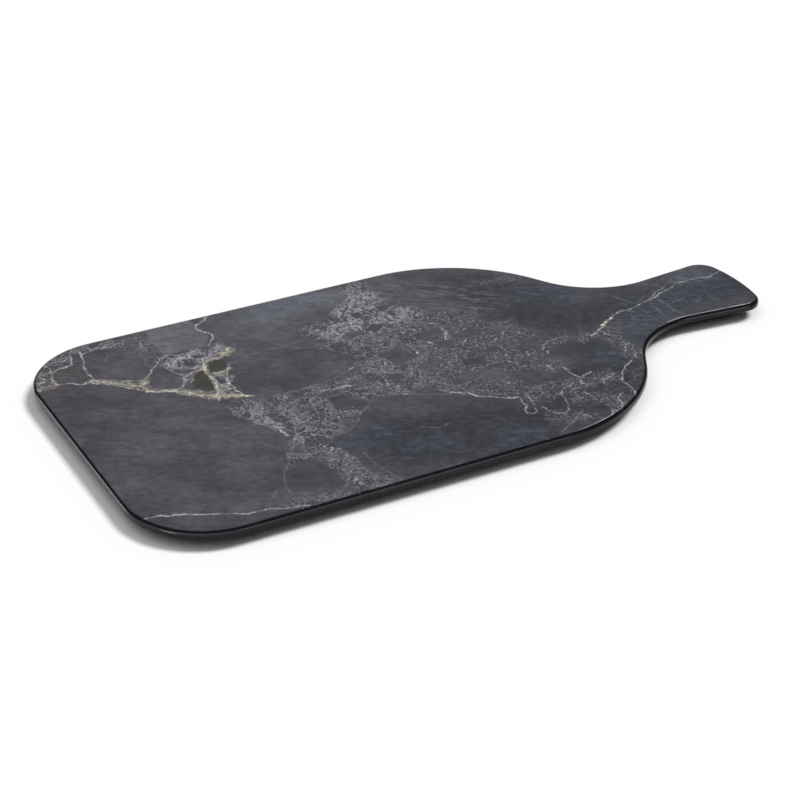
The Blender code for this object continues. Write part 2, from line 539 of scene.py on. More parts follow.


# %% [markdown]
# ## The veins
# Three kinds of vein cross the stone. Gold ones fill the widest cracks by the board end. White ones are
# thin and bright. Faint ones have almost healed. Each route was placed one by one, as a painter of marble
# places veins.

# %% Gold veins
GOLD_VEINS = [
    (0.30, [(28, 63), (35, 60.5), (42, 55.5), (48, 52), (53, 50.5), (57, 51.5)]),
    (0.30, [(27, 61.5), (34, 55.5), (41, 49), (47, 43), (50, 37.5)]),
    (0.30, [(31, 60.5), (38, 55.5), (45, 48.5), (50, 45)]),
    (0.50, [(50, 38), (55, 35.5), (62, 31.5), (66, 29.5), (70, 26)]),
    (0.30, [(53, 50), (52.5, 45), (55, 39), (60, 34.5), (65, 32.5)]),
    (0.35, [(63, 32), (68, 33), (72, 37.5), (73, 43), (79, 46), (86, 47)]),
    (0.50, [(80, 16), (82.5, 20), (85, 27), (86.5, 32), (86, 38), (87, 42), (86.5, 47), (88, 53),
            (90, 57)]),
    (0.35, [(90, 57), (86, 60), (84.5, 65)]),
    (0.35, [(88, 52), (91, 53.5), (95, 54.5)]),
    (0.30, [(100, 45), (98, 41.5), (94, 39.5), (88, 40)]),
    (0.45, [(95, 54.5), (101, 56), (105, 60), (108, 62.5)]),
    (0.75, [(87, 13.5), (91, 12), (94, 10), (98, 7.5)]),
    (0.40, [(99, 41), (95, 37), (93, 33), (91.5, 27), (92.5, 22), (91.5, 17), (93.5, 12)]),
    (0.35, [(66, 29), (71, 23.5), (76, 19.5), (82, 15), (88, 13)]),
    (0.30, [(68, 31), (73, 26.5), (79, 22), (85, 20.5), (91, 20)]),
    (0.30, [(74, 36), (76.5, 38), (76, 40), (73.5, 39.5)]),
    (0.85, [(86.5, 46), (88, 50)]),
    (0.75, [(50, 38), (53.5, 36.5)]),
    (0.45, [(81, 15), (80, 11.5)]),
    (0.55, [(92, 12.5), (94, 10.5), (95.5, 9)]),
    (0.25, [(87, 24), (91, 23), (95, 20)]),
    (0.25, [(76, 51), (81, 50), (86, 51)]),
    (0.25, [(2, 70), (5, 73), (9, 72), (12, 68)]),
    (0.25, [(1, 65), (5, 66), (8, 64.5), (12, 66)]),
    (0.65, [(299, -12), (302, -10), (305, -8), (309, -6)]),
    (0.45, [(267, -80), (264, -82), (262, -85), (261.5, -89), (259, -92), (257, -95)]),
]
GOLD_GROUND = [
    (1.9, [(29, 61.5), (36, 57), (44, 50.5), (50, 45.5)]),
    (2.2, [(50, 47), (54, 47.5)]),
    (1.1, [(50, 44), (52, 38.5), (58, 34.5), (64, 31)]),
    (2.6, [(66, 28.5), (72, 23.5), (79, 17)]),
    (2.2, [(79, 17), (85, 14.5), (91, 11.5)]),
    (1.2, [(82, 18), (86, 29), (86.5, 42), (88, 52)]),
    (1.4, [(88, 54), (93, 55.5), (98, 54)]),
    (3.2, [(102, 57), (107, 60)]),
    (0.9, [(1, 67), (6, 68.5), (11, 67)]),
    (0.9, [(88, 39), (94, 39), (99, 41)]),
]
gold_distance = routes_distance(crack_place, GOLD_VEINS)
gold_ground = routes_distance(crack_place, GOLD_GROUND)
print("gold routes:", len(GOLD_VEINS), "and ground:", len(GOLD_GROUND))

# %% White veins
WHITE_VEINS = [
    (0.35, [(-1, -79), (1, -77), (3, -75.8), (6, -75.2), (12, -76.8), (20, -80.3), (30, -85),
            (40, -89.5), (48, -94.3)]),
    (0.35, [(48, -94.3), (54, -95), (60, -95.5), (64, -98), (69, -100.2), (73, -100), (77, -101.8)]),
    (0.40, [(113, 103), (108, 98.5), (103, 95), (100.5, 90.5), (103, 86), (105.5, 81), (105, 77.5),
            (102, 74), (99, 70)]),
    (0.35, [(30, 62), (31, 66), (30.2, 71), (31, 77), (32.5, 84), (33.5, 90), (35, 96)]),
    (0.40, [(12, 67), (20, 64.5), (22, 61.5), (25, 60.8), (29, 63)]),
    (0.35, [(55, 51.5), (60, 57), (66, 63), (70, 67.5), (76, 70.5)]),
    (0.30, [(12, 68), (11, 74), (13, 80), (19, 84), (22.5, 83), (26, 85), (28, 90), (29.5, 97)]),
    (0.25, [(13, 80), (14, 85), (12.5, 90)]),
    (0.20, [(1, 74), (5, 72), (8, 75), (6, 79), (9, 83), (13, 80)]),
    (0.20, [(14, 90), (19, 92), (24, 90), (27, 92)]),
    (0.20, [(30, 97), (36, 93), (44, 95), (52, 94), (60, 97)]),
    (0.25, [(73.5, 46), (70.5, 51), (69.5, 57), (72, 61), (79, 63.5), (85, 62)]),
    (0.20, [(76, 70.5), (80, 67), (88, 68), (95, 66), (99, 70)]),
    (0.60, [(93.5, -27.5), (97.5, -29)]),
    (0.50, [(94.5, -31), (95, -37)]),
    (0.40, [(93, -22), (93.5, -25)]),
    (0.40, [(97, -43), (99, -42)]),
    (0.40, [(107.5, -42), (108, -44)]),
    (0.60, [(121.5, -3), (122.5, -3)]),
    (0.45, [(131, -4), (134, -5)]),
    (0.45, [(137, -6), (142, -5.5), (147, -7)]),
    (0.35, [(167, -28), (170, -29)]),
    (0.40, [(189, -38), (195, -41.5)]),
    (0.70, [(197, -42), (199, -48)]),
    (0.45, [(199, -48), (204, -51.5), (208, -54), (211.5, -56.5), (217, -58.5)]),
    (0.35, [(218, -60), (216, -64), (216.5, -68), (213, -71), (212.5, -75), (216, -77), (219, -75),
            (219, -72)]),
    (0.25, [(223, -59), (222, -64), (220, -69)]),
    (0.25, [(223, -72), (224.5, -77), (226, -82), (230, -84), (233, -82), (236, -77), (238, -71),
            (239, -66)]),
    (0.20, [(239, -66), (243, -62), (250, -60)]),
    (0.60, [(232.5, -82.5), (233.5, -81.5)]),
    (0.30, [(255, -42), (255.5, -50), (257, -57), (260, -54), (265, -53)]),
    (0.25, [(257, -57), (254, -61), (256, -65)]),
    (0.40, [(248.5, -35), (248.5, -41)]),
    (0.70, [(256, -25), (257.5, -23)]),
    (0.30, [(256, -20), (259, -16), (263, -13)]),
    (0.30, [(291, -53), (285, -57), (280, -61), (276, -68)]),
    (0.30, [(275, -64), (275, -72), (274, -80), (272, -86)]),
    (0.25, [(264, -67), (267, -64), (272, -63)]),
    (0.35, [(250, -70), (251, -73)]),
    (0.30, [(250, -97), (253, -93), (256, -96)]),
    (0.30, [(293, -25), (293.5, -31)]),
    (0.30, [(295, -17), (296, -21), (299, -25)]),
    (0.25, [(301, -35), (297, -38), (294, -43)]),
    (0.25, [(299, -45), (296, -48), (295.5, -53)]),
    (0.40, [(288, -18.5), (292, -17), (296, -14), (300, -12)]),
    (0.30, [(308, -6), (313, -3), (317, -1.5), (322, -2), (328, -1.5), (332, 0.5), (337, 2), (343, 3.5),
            (348, 5.5)]),
    (0.30, [(348, 5.5), (352, 7.5), (358, 9), (362, 11), (365, 13), (372, 13), (380, 12.5), (386, 11),
            (390, 12)]),
    (0.30, [(390, 12), (397, 14.5), (402, 15.5)]),
    (0.20, [(340, 4), (346, 7), (352, 10.5), (357, 12)]),
    (0.35, [(219.5, 30), (220, 23), (217, 18), (215, 15)]),
    (0.30, [(213, 40), (217, 36), (221, 34)]),
    (0.45, [(180.5, 47), (181, 50)]),
    (0.45, [(205.5, 15.5), (206.5, 16)]),
    (0.45, [(194, 8), (195, 9)]),
    (0.50, [(247, 7), (248.5, 8)]),
    (0.40, [(222.5, 8), (223.5, 8.5)]),
    (0.35, [(237, -4), (237.5, -8)]),
    (0.35, [(126, -33), (126, -35)]),
    (0.40, [(170, 62.5), (170.5, 63.5)]),
    (0.40, [(154, 9.5), (157, 10.5)]),
]
white_distance = routes_distance(crack_place, WHITE_VEINS)
print("white routes:", len(WHITE_VEINS))

# %% Faint veins
FAINT_VEINS = [
    (0.40, [(150, -26), (145, -29), (140, -34), (134, -40), (128, -45), (122, -49)]),
    (0.30, [(152, -23), (160, -24), (167, -28), (178, -34), (188, -38)]),
    (0.35, [(97, -43), (92, -50), (88, -56), (82, -65), (77, -73), (74, -80), (74.5, -88)]),
    (0.20, [(76, -75), (71, -80), (62, -88)]),
    (0.30, [(103, -66), (104, -76), (102, -88), (100, -93), (94, -98), (92, -103)]),
    (0.35, [(122, -70), (121.5, -80), (123, -90), (126, -101)]),
    (0.45, [(80, 4), (83, -8), (88, -19), (92, -27)]),
    (0.30, [(120, -18), (128, -14), (131, -12)]),
    (0.25, [(139, -9), (141, -18), (146, -20)]),
    (0.25, [(161, -14), (163, -7), (168, -5)]),
    (0.25, [(178, -2), (175, -10)]),
    (0.30, [(99, 46), (104, 46), (110, 48.5), (118, 50.5), (127, 50.5), (137, 50.5), (146, 51.5)]),
    (0.35, [(128, 50), (140, 45), (148, 40), (154, 36), (160, 27), (164, 19)]),
    (0.30, [(112, 2), (128, 2.5), (143, 4), (152, 9)]),
    (0.40, [(320, 22), (325, 16), (328, 8), (331, 2)]),
    (0.40, [(336, -3), (337, -12), (336, -21)]),
    (0.40, [(346, -4), (345, -14), (347, -22)]),
    (0.30, [(374, -2), (373, -10), (376, -20)]),
    (0.20, [(333, 3), (338, 7), (344, 9), (352, 12), (362, 16)]),
    (0.30, [(207, 93), (205, 89), (201, 87)]),
    (0.25, [(43, 80), (46, 84), (52, 86)]),
    (0.30, [(282, -17), (291, -18)]),
    (0.30, [(231, -31), (224, -37), (215, -42)]),
    (0.40, [(222, -57), (234, -54), (246, -54)]),
    (0.60, [(240, -85), (230, -93), (218, -100)]),
    (0.40, [(158, -62), (166, -67), (172, -65)]),
]
faint_distance = routes_distance(crack_place, FAINT_VEINS)
print("faint routes:", len(FAINT_VEINS), "stone so far:", len(stone.nodes), "nodes")

# %% [markdown]
# ## Crushed ground
# Where the stone was ground up, flakes of many sizes lie in paler mineral. Voronoi cells are such flakes.
# Large cells stay whole or hold small cells, and the ground's broad routes are measured at the middle of
# each large cell, so that a flake belongs to the ground as a whole and the edge of the ground is broken,
# not blurred.

# %% Flakes, and where the stone is crushed
LARGE_FLAKES = 0.15
SMALL_FLAKES = 0.46
CRUSHED_GROUND = [
    (5, [(4, 72), (9, 80)]),
    (5, [(14, 90), (24, 95)]),
    (5, [(34, 97), (58, 96)]),
    (5, [(65, 68), (68, 92)]),
    (7, [(74, 62), (98, 62)]),
    (5, [(80, 46), (88, 54)]),
    (6, [(74, 55), (84, 57)]),
    (6, [(84, 16), (90, 32)]),
    (7, [(88, 2), (92, -10), (97, -24)]),
    (9, [(106, -4), (122, -12)]),
    (10, [(108, -22), (128, -30)]),
    (8, [(104, -36), (118, -44)]),
    (7, [(98, -48), (106, -56)]),
    (5, [(88, -57), (96, -60)]),
    (8, [(108, -64), (112, -80)]),
    (9, [(110, -88), (114, -102)]),
    (4, [(74, -98), (96, -100)]),
    (7, [(128, -3), (152, -6)]),
    (7, [(150, -14), (162, -16)]),
    (10, [(160, 56), (178, 58)]),
    (12, [(184, 66), (198, 78)]),
    (14, [(172, 44), (212, 48)]),
    (8, [(160, 42), (174, 30)]),
    (7, [(196, 84), (202, 98)]),
    (14, [(172, 26), (232, 30)]),
    (14, [(168, 2), (246, 8)]),
    (12, [(168, -14), (240, -20)]),
    (8, [(190, -32), (222, -48)]),
    (8, [(240, -30), (252, -38)]),
    (9, [(225, -60), (252, -60)]),
    (7, [(246, -72), (258, -86)]),
    (5, [(222, -86), (240, -92)]),
    (6, [(262, -60), (272, -62)]),
    (7, [(246, 14), (256, 2)]),
    (5, [(262, -14), (290, -18)]),
    (5, [(297, -22), (298, -44)]),
    (4, [(268, 66), (290, 60)]),
]
large_flake = cells(stone, flake_place, LARGE_FLAKES, "F1")
flake_middle = vectors(stone, "SCALE", vectors(stone, "ADD", large_flake["Position"], board), 0.5)
ground_distance = routes_distance(flake_middle, CRUSHED_GROUND)
loose = maths(stone, "SUBTRACT", stone_noise(board, 0.09, 4.0, 0.6), 0.5)
ground = ease(stone, maths(stone, "MULTIPLY_ADD", loose, 22.0, ground_distance), 3.0, -4.0)
print("crushed ground routes:", len(CRUSHED_GROUND))

# %% [markdown]
# ## Pieces that stayed whole
# Larger pieces lie in the crushed ground, and a paler shelf of stone lies along the back. The splinters are
# turned boxes on the drawing board, and the larger pieces are drawn by their corners. The group keeps the
# distance so far, as the vein's runs do.

# %% Node group for a whole piece
fragment, given = new_group(
    "fragment",
    [("Place", VECTOR), ("Middle", VECTOR), ("Half Size", VECTOR), ("Turn", VALUE), ("So Far", VALUE)],
    [("Distance", VALUE)],
)
from_middle = vectors(fragment, "SUBTRACT", given["Place"], given["Middle"])
turned = fragment.nodes.new("ShaderNodeVectorRotate")
turned.rotation_type = "Z_AXIS"
feed(fragment, turned.inputs["Vector"], from_middle)
feed(fragment, turned.inputs["Angle"], given["Turn"])
folded = vectors(fragment, "ABSOLUTE", turned.outputs["Vector"])
past_side = vectors(fragment, "SUBTRACT", folded, given["Half Size"])
sides = fragment.nodes.new("ShaderNodeSeparateXYZ")
feed(fragment, sides.inputs["Vector"], past_side)
outside = maths(fragment, "MAXIMUM", sides.outputs["X"], sides.outputs["Y"])
closest = maths(fragment, "MINIMUM", outside, given["So Far"])
fragment_out = fragment.nodes.new("NodeGroupOutput")
feed(fragment, fragment_out.inputs["Distance"], closest)
print("fragment:", len(fragment.nodes), "nodes")


# %% Distance to whole pieces
def fragments_distance(place, pieces, so_far=FAR_AWAY):
    """How far a place is outside the nearest piece, each a middle, a half length, a half width and a turn."""
    for along, across, half_length, half_width, turn in pieces:
        so_far = use_group(
            stone, fragment, "Distance", Place=place, Middle=(along, across, 0.0),
            Half_Size=(half_length, half_width, 0.0), Turn=math.radians(-turn), So_Far=so_far,
        )
    return so_far


def corners_distance(place, corners):
    """How far a place is outside a piece with these corners, listed clockwise, with no corner turned in."""
    so_far = -FAR_AWAY
    for start, end in zip(corners, corners[1:] + corners[:1]):
        side = Vector((end[0] - start[0], end[1] - start[1], 0.0)).normalized()
        outward = Vector((-side.y, side.x, 0.0))
        reach = outward.x * start[0] + outward.y * start[1]
        beyond = maths(stone, "SUBTRACT", vectors(stone, "DOT_PRODUCT", place, outward), reach)
        so_far = maths(stone, "MAXIMUM", so_far, beyond)
    return so_far


# %% Place the whole pieces
DARK_OUTLINES = [
    [(97, 10), (95, 20), (101, 43), (115, 48), (127, 49), (152, 36), (163, 20), (158, 12), (143, 4),
     (112, 2)],
    [(149, -26), (172, -31), (198, -45), (215, -61), (213, -76), (219, -108), (128, -108), (113, -60),
     (119, -50)],
    [(13, 67), (11.5, 72), (13, 80), (19, 84), (27, 83), (30, 77), (30, 66), (24, 62.5)],
    [(32, 66), (33, 80), (34, 91), (42, 93), (52, 92), (62, 84), (69, 77), (69, 71), (58, 55),
     (50, 52.5), (40, 58)],
    [(54.5, 44), (58, 52), (66, 61.5), (69.5, 56), (72, 45), (71, 39), (68, 35), (62, 34), (57, 37.5)],
    [(101.5, 47), (104, 51), (113.5, 53), (110, 49.5), (105, 46.5)],
    [(225, -47), (232, -41), (246, -44.5), (247.5, -51), (237, -53.5), (227, -51.5)],
    [(241, -12), (248, -8), (258, -10), (257.5, -17), (248, -17.5)],
    [(256, -40), (262, -26), (285, -24), (291, -35), (290, -50), (281, -57), (266, -54), (257.5, -50)],
    [(227, -77), (229, -70), (237, -70), (236.5, -76), (231.5, -81.5)],
]
OLIVE_OUTLINES = [
    [(74, 31), (75, 36), (80, 44), (85.5, 46), (85.5, 38), (84, 29), (81.5, 22), (76, 26)],
    [(88.5, 43), (88.5, 47.5), (91.5, 51.5), (95.5, 53), (99.5, 50), (98.5, 44), (94, 41)],
]
PALE_OUTLINES = [
    [(74, 71), (73, 82), (75, 103), (101, 103), (103, 80), (98, 70)],
]
SHELF_OUTLINES = [
    [(114, 54), (107, 66), (105, 85), (112, 104), (192, 104), (186, 86), (172, 71), (151, 52), (130, 50.5)],
    [(129, 50), (147, 52), (154, 46), (153, 37)],
]
DARK_PIECES = [
    (188, 46, 4.5, 3.5, 40), (160.5, 36.5, 4.5, 3.5, 10), (211, 25.5, 9, 4.3, 5), (228, 15.5, 8.5, 4.5, -5),
    (212.5, 10, 5.5, 5, -20), (183.5, 11, 7.5, 8.5, 15), (220, 36, 6.5, 2.4, -35), (186, 63.5, 3, 3.5, 0),
    (244.5, 9.5, 4.5, 1.8, 10), (155, 45.5, 3.5, 2.5, -20), (204, 57, 1.8, 4, 10),
    (135.5, -19.5, 6.5, 7, -5),
    (172, -9, 5, 4, -20), (217, -14, 7, 4.5, -15), (90, -79, 10, 15, 10), (266, -72, 6, 6, 0),
    (285, -70, 6, 9, -30),
    (81.5, 55, 3.5, 2.2, -40), (88.5, 61, 3, 2, -20), (88, 31, 2.5, 4, 10),
]
GREY_PIECES = [
    (195, -6, 7, 4, 25), (214, -30, 12, 5, -28), (172, 44, 5, 3, 30), (246, 15, 4.5, 3, -25),
]

broken_place = wander(board, 0.20, 2.4, 2.0)


def outlines_distance(outlines, so_far=FAR_AWAY):
    """How far a place is outside the nearest of these outlines."""
    for corners in outlines:
        so_far = maths(stone, "MINIMUM", so_far, corners_distance(broken_place, corners))
    return so_far


olive_distance = outlines_distance(OLIVE_OUTLINES)
splinter_distance = fragments_distance(broken_place, DARK_PIECES)
dark_distance = maths(stone, "MINIMUM", splinter_distance, outlines_distance(DARK_OUTLINES, olive_distance))
pale_distance = outlines_distance(PALE_OUTLINES)
grey_distance = fragments_distance(broken_place, GREY_PIECES)
shelf_distance = outlines_distance(SHELF_OUTLINES)
pale_or_grey = maths(stone, "MINIMUM", pale_distance, grey_distance)
whole_distance = maths(stone, "MINIMUM", dark_distance, pale_or_grey)
crush = maths(stone, "MULTIPLY", ground, ease(stone, whole_distance, -0.5, 0.5))
print("whole pieces placed, stone so far:", len(stone.nodes), "nodes")

# %% [markdown]
# ## Tints
# The stone leans to blue over the neck and the handle, to brown by the gold veins, and it is paler and
# colder along the back. The board end is lighter, and the stone is deepest towards the handle: partly the
# stone's own tone, partly painted sheen at the board end and painted shade towards the handle. Chalk
# whitens some of the crushed ground, fine cracks net a few places, and the back by the shoulder is
# streaked. A tint is a broad route with a very soft edge.

# %% Where each tint lies
BLUE_GROUND = [
    (11, [(306, -28), (330, -5), (386, 0)]),
    (5, [(118, -58), (138, -60)]),
    (5, [(142, -77), (158, -80)]),
    (6, [(192, -92), (203, -92)]),
    (4, [(181, 29), (185, 31)]),
    (9, [(282, 42), (302, 34)]),
    (7, [(284, -42), (292, -42)]),
]
BROWN_GROUND = [
    (6, [(16, 76), (26, 72)]),
    (3, [(2, 63), (11, 64)]),
    (4, [(303, -15), (305, -15)]),
    (4, [(208, 92), (210, 103)]),
    (4, [(264, 84), (269, 84)]),
]
PALE_GROUND = [
    (8, [(118, 78), (150, 90), (182, 90)]),
]
COLD_GROUND = [
    (9, [(140, 92), (178, 93)]),
    (5, [(372, 18), (384, 18)]),
]
# Partly the stone's own tone, partly painted sheen: the board end is painted lighter
END_TONE_AND_SHEEN_GROUND = [
    (26, [(26, -40), (50, 10)]),
    (14, [(60, -70), (70, -20)]),
    (12, [(30, -84), (84, -92)]),
    (10, [(40, 70), (58, 76)]),
]
# Partly the stone's own tone, partly painted shade: the stone is painted darker here, most of all towards the
# handle
DEEP_TONE_AND_SHADE_GROUND = [
    (22, [(150, -70), (200, -84)]),
    (18, [(235, -84), (268, -60)]),
    (20, [(262, 62), (285, 10)]),
    (16, [(300, 0), (390, 0)]),
    (12, [(282, -60), (284, -34)]),
]
CHALK_GROUND = [
    (8, [(168, 54), (205, 56)]),
    (9, [(182, 66), (198, 80)]),
    (4, [(92, -14), (98, -34)]),
    (8, [(74, 60), (98, 62)]),
    (5, [(86, 18), (90, 34)]),
]
NET_GROUND = [
    (8, [(4, 74), (14, 88), (30, 97)]),
    (6, [(64, 66), (69, 92)]),
    (9, [(268, -78), (282, -62)]),
    (6, [(296, -30), (304, -22)]),
    (7, [(318, -16), (336, -6)]),
    (6, [(344, -2), (362, -8)]),
    (5, [(352, 16), (372, 20)]),
]
STREAKED_GROUND = [
    (15, [(216, 82), (256, 46)]),
]


def tint(routes, start, end):
    """The strength of a tint: none at the start distance from its routes, all of it at the end."""
    return ease(stone, routes_distance(board, routes), start, end)


blue = tint(BLUE_GROUND, 14.0, -6.0)
brown = tint(BROWN_GROUND, 8.0, -4.0)
pale = tint(PALE_GROUND, 20.0, -8.0)
cold = tint(COLD_GROUND, 10.0, -6.0)
end_tone_and_sheen = tint(END_TONE_AND_SHEEN_GROUND, 14.0, -10.0)
streaked = tint(STREAKED_GROUND, 7.0, -7.0)
deep_tone_and_shade = tint(DEEP_TONE_AND_SHADE_GROUND, 14.0, -8.0)
chalk = tint(CHALK_GROUND, 14.0, -6.0)
netted = tint(NET_GROUND, 8.0, -4.0)
print("tints placed, stone so far:", len(stone.nodes), "nodes")

# %% [markdown]
# ## Colours of the stone
# The colours are laid on in the order in which the stone formed: the old dark rock with its clouds and
# tints, the crushed ground with its flakes, the rims and nets of fine cracks, and then the veins. A vein's
# strength is broken by noise, so it comes and goes.

# %% Old rock
DARK_ROCK = (0.036, 0.0345, 0.047, 1.0)
CLOUDED_ROCK = (0.070, 0.067, 0.082, 1.0)
# The deep colour is partly the stone's own tone and partly painted shade
DEEP_ROCK_AND_SHADE = (0.019, 0.019, 0.028, 1.0)
BLUE_ROCK = (0.026, 0.034, 0.050, 1.0)
BROWN_ROCK = (0.058, 0.051, 0.055, 1.0)
OLIVE_ROCK = (0.032, 0.031, 0.024, 1.0)
GREY_ROCK = (0.080, 0.078, 0.092, 1.0)
PALE_ROCK = (0.108, 0.108, 0.128, 1.0)
COLD_ROCK = (0.112, 0.126, 0.156, 1.0)
STREAK = (0.125, 0.122, 0.140, 1.0)


def brushed(turn, stretch):
    """The board turned by this angle and drawn out along its first direction, as smeared rock is."""
    node = stone.nodes.new("ShaderNodeMapping")
    node.vector_type = "TEXTURE"
    feed(stone, node.inputs["Vector"], board)
    node.inputs["Rotation"].default_value = (0.0, 0.0, math.radians(turn))
    node.inputs["Scale"].default_value = (stretch, 1.0, 1.0)
    return node.outputs["Vector"]


cloud = ease(stone, stone_noise(board, 0.035, 6.0, 0.66), 0.34, 0.74)
rock = blend(stone, cloud, DARK_ROCK, CLOUDED_ROCK)
# The lighter board end is partly painted sheen, and the deeper stone towards the handle partly painted shade
for strength, share, colour in (
    (end_tone_and_sheen, 0.22, PALE_ROCK),
    (deep_tone_and_shade, 0.9, DEEP_ROCK_AND_SHADE),
    (blue, 0.6, BLUE_ROCK),
    (brown, 0.8, BROWN_ROCK),
    (pale, 0.4, PALE_ROCK),
):
    rock = blend(stone, maths(stone, "MULTIPLY", strength, share), rock, colour)
rock = blend(stone, ease(stone, shelf_distance, 0.5, -0.5, 0.0, 0.3), rock, GREY_ROCK)
rock = blend(stone, maths(stone, "MULTIPLY", cold, 0.42), rock, COLD_ROCK)
rock = blend(stone, ease(stone, pale_distance, 0.6, -0.6, 0.0, 0.9), rock, PALE_ROCK)
rock = blend(stone, ease(stone, grey_distance, 0.6, -0.6, 0.0, 0.6), rock, GREY_ROCK)
rock = blend(stone, ease(stone, splinter_distance, 0.5, -0.5, 0.0, 0.5), rock, DARK_ROCK)
rock = blend(stone, ease(stone, olive_distance, 0.6, -0.6), rock, OLIVE_ROCK)
smear = stone_noise(brushed(-28.0, 3.0), 0.22, 4.0, 0.62)
smoke = maths(stone, "MULTIPLY", ease(stone, smear, 0.46, 0.68), maths(stone, "MAXIMUM", cold, blue))
rock = blend(stone, maths(stone, "MULTIPLY", smoke, 0.22), rock, COLD_ROCK)
smear = stone_noise(brushed(-40.0, 6.0), 0.34, 4.0, 0.66)
streak = maths(stone, "MULTIPLY", ease(stone, smear, 0.48, 0.62), streaked)
rock = blend(stone, maths(stone, "MULTIPLY", streak, 0.6), rock, STREAK)
mottle = stone_noise(brushed(-28.0, 1.8), 0.34, 6.0, 0.74)
rock = blend(stone, 1.0, rock, ease(stone, mottle, 0.25, 0.75, 0.66, 1.38), "MULTIPLY")
# Where the stone is painted deeper, partly as painted shade, its mottle is stronger
deep_tone_and_shade_share = maths(stone, "MULTIPLY", deep_tone_and_shade, 0.6)
rock = blend(stone, deep_tone_and_shade_share, rock, ease(stone, mottle, 0.3, 0.7, 0.4, 1.6), "MULTIPLY")
bands = stone_noise(brushed(-28.0, 2.6), 0.075, 3.0, 0.6)
rock = blend(stone, 1.0, rock, ease(stone, bands, 0.30, 0.70, 0.84, 1.16), "MULTIPLY")
print("rock laid, stone so far:", len(stone.nodes), "nodes")

# %% Crushed ground
DARK_FLAKE = (0.029, 0.028, 0.038, 1.0)
CRUSHED = (0.105, 0.103, 0.119, 1.0)
# The crushed mineral's colour in painted shade
CRUSHED_IN_PAINTED_SHADE = (0.058, 0.057, 0.069, 1.0)
CHALKY = (0.225, 0.223, 0.240, 1.0)
SEAM = (0.34, 0.335, 0.355, 1.0)
GRIT = (0.42, 0.41, 0.41, 1.0)

small_flake = cells(stone, flake_place, SMALL_FLAKES, "F1")["Color"]
small_edge = cells(stone, flake_place, SMALL_FLAKES, "DISTANCE_TO_EDGE")["Distance"]
large_edge = cells(stone, flake_place, LARGE_FLAKES, "DISTANCE_TO_EDGE")["Distance"]
grain = stone_noise(board, 0.5, 5.0, 0.72)
board_sides = stone.nodes.new("ShaderNodeSeparateXYZ")
feed(stone, board_sides.inputs["Vector"], board)
# Painted shade: the crushed mineral is painted darker towards the handle
mineral = blend(stone, ease(stone, board_sides.outputs["X"], 172.0, 222.0), CRUSHED, CRUSHED_IN_PAINTED_SHADE)
mineral = blend(stone, chalk, mineral, CHALKY)
crushed = blend(stone, ease(stone, small_flake, 0.70, 0.30), DARK_FLAKE, mineral)
crushed = blend(stone, ease(stone, small_edge, 0.16, 0.05), crushed, mineral)
whole = maths(stone, "GREATER_THAN", large_flake["Color"], 0.62)
whole = maths(stone, "MULTIPLY", whole, ease(stone, large_edge, 0.04, 0.09, 0.0, 0.9))
crushed = blend(stone, whole, crushed, DARK_FLAKE)
crushed = blend(stone, 1.0, crushed, ease(stone, grain, 0.2, 0.8, 0.55, 1.5), "MULTIPLY")
seam = ease(stone, small_edge, 0.09, 0.02, 0.0, 0.8)
seam = maths(stone, "MAXIMUM", seam, ease(stone, large_edge, 0.05, 0.01, 0.0, 0.9))
seam = maths(stone, "MULTIPLY", seam, ease(stone, grain, 0.46, 0.60))
crushed = blend(stone, seam, crushed, SEAM)
grit = maths(stone, "MULTIPLY", maths(stone, "LESS_THAN", small_flake, 0.14), ease(stone, grain, 0.5, 0.6))
crushed = blend(stone, maths(stone, "MULTIPLY", grit, 0.7), crushed, GRIT)
surface = blend(stone, crush, rock, crushed)
print("crushed ground laid, stone so far:", len(stone.nodes), "nodes")

# %% Rims and nets
RIM = (0.19, 0.187, 0.21, 1.0)
rim = ease(stone, maths(stone, "ABSOLUTE", dark_distance), 0.7, 0.1)
rim = maths(stone, "MULTIPLY", rim, ease(stone, grain, 0.45, 0.62))
net_edge = cells(stone, crack_place, 0.11, "DISTANCE_TO_EDGE")["Distance"]
net = maths(stone, "MULTIPLY", ease(stone, net_edge, 0.06, 0.012), netted)
net = maths(stone, "MULTIPLY", net, ease(stone, grain, 0.40, 0.60))
lines = maths(stone, "MAXIMUM", maths(stone, "MULTIPLY", rim, ground), net)
surface = blend(stone, maths(stone, "MULTIPLY", lines, 0.7), surface, RIM)
print("rims and nets laid, stone so far:", len(stone.nodes), "nodes")

# %% Veins
FAINT_COLOUR = (0.20, 0.198, 0.225, 1.0)
WHITE_COLOUR = (0.52, 0.51, 0.52, 1.0)
GOLD_COLOUR = (0.68, 0.64, 0.56, 1.0)
CREAM_COLOUR = (0.36, 0.325, 0.275, 1.0)
GREEN_CREAM = (0.138, 0.140, 0.106, 1.0)

thinning = maths(stone, "MULTIPLY_ADD", stone_noise(board, 0.16, 2.0), 1.6, -0.8)
ragged = maths(stone, "MULTIPLY_ADD", stone_noise(board, 0.7, 3.0, 0.6), 1.2, thinning)
ragged = maths(stone, "SUBTRACT", ragged, 0.6)
broken = ease(stone, stone_noise(board, 0.24, 4.0, 0.65), 0.36, 0.60, 0.35, 1.0)


def vein_share(distance, softness, strength):
    edge = ease(stone, maths(stone, "MULTIPLY_ADD", ragged, 0.45, distance), softness, -softness)
    return maths(stone, "MULTIPLY", edge, maths(stone, "MULTIPLY", broken, strength))


